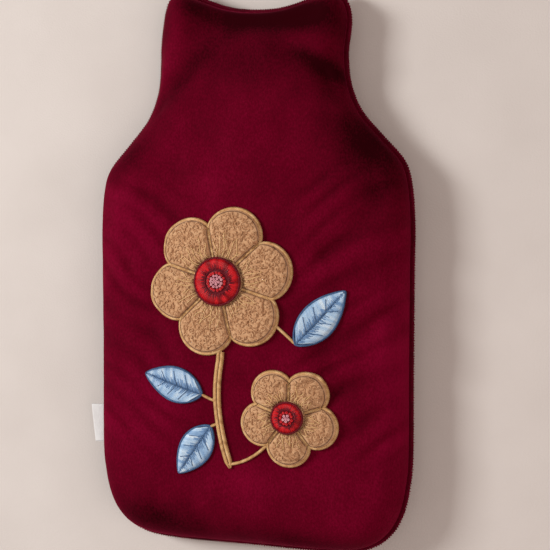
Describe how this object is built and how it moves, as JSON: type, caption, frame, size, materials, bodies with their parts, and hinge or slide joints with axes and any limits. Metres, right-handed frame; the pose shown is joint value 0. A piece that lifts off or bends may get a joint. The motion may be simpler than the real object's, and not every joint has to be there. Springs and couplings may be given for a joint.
{
  "type": "hot water bottle cover",
  "caption": "Plump velvet cover shaped like a hot water bottle, with an overlocked edge, an envelope opening in its back, a bare side tab and fleece and satin flowers sewn on its front.",
  "frame": {"origin": "middle of the flat back that the cover rests on, on the cover's middle line, half way between the seams of the body's sides", "axes": "+Z out of the front, +Y towards the neck, +X to the right seen from the front"},
  "size_m": [0.2177, 0.3595, 0.0488],
  "materials": {
    "velvet": "short pile velvet, wine red, soft sheen at grazing angles",
    "seam_thread": "overlocked wine red thread",
    "fleece": "curly tan teddy fleece",
    "red_satin": "red satin stitch",
    "blue_satin": "light blue satin stitch",
    "tan_satin": "tan satin stitch",
    "white_tape": "bare white woven tape"
  },
  "bodies": {
    "root": {"front_panel": "velvet", "back_upper": "velvet", "back_lower": "velvet", "edge_seam": "seam_thread", "side_label": "white_tape", "petals_large": "fleece", "petals_small": "fleece", "center_large": "red_satin", "center_small": "red_satin", "leaf_upper": "blue_satin", "leaf_lower": "blue_satin", "leaf_side": "blue_satin", "stem": "tan_satin"}
  },
  "joints": []
}
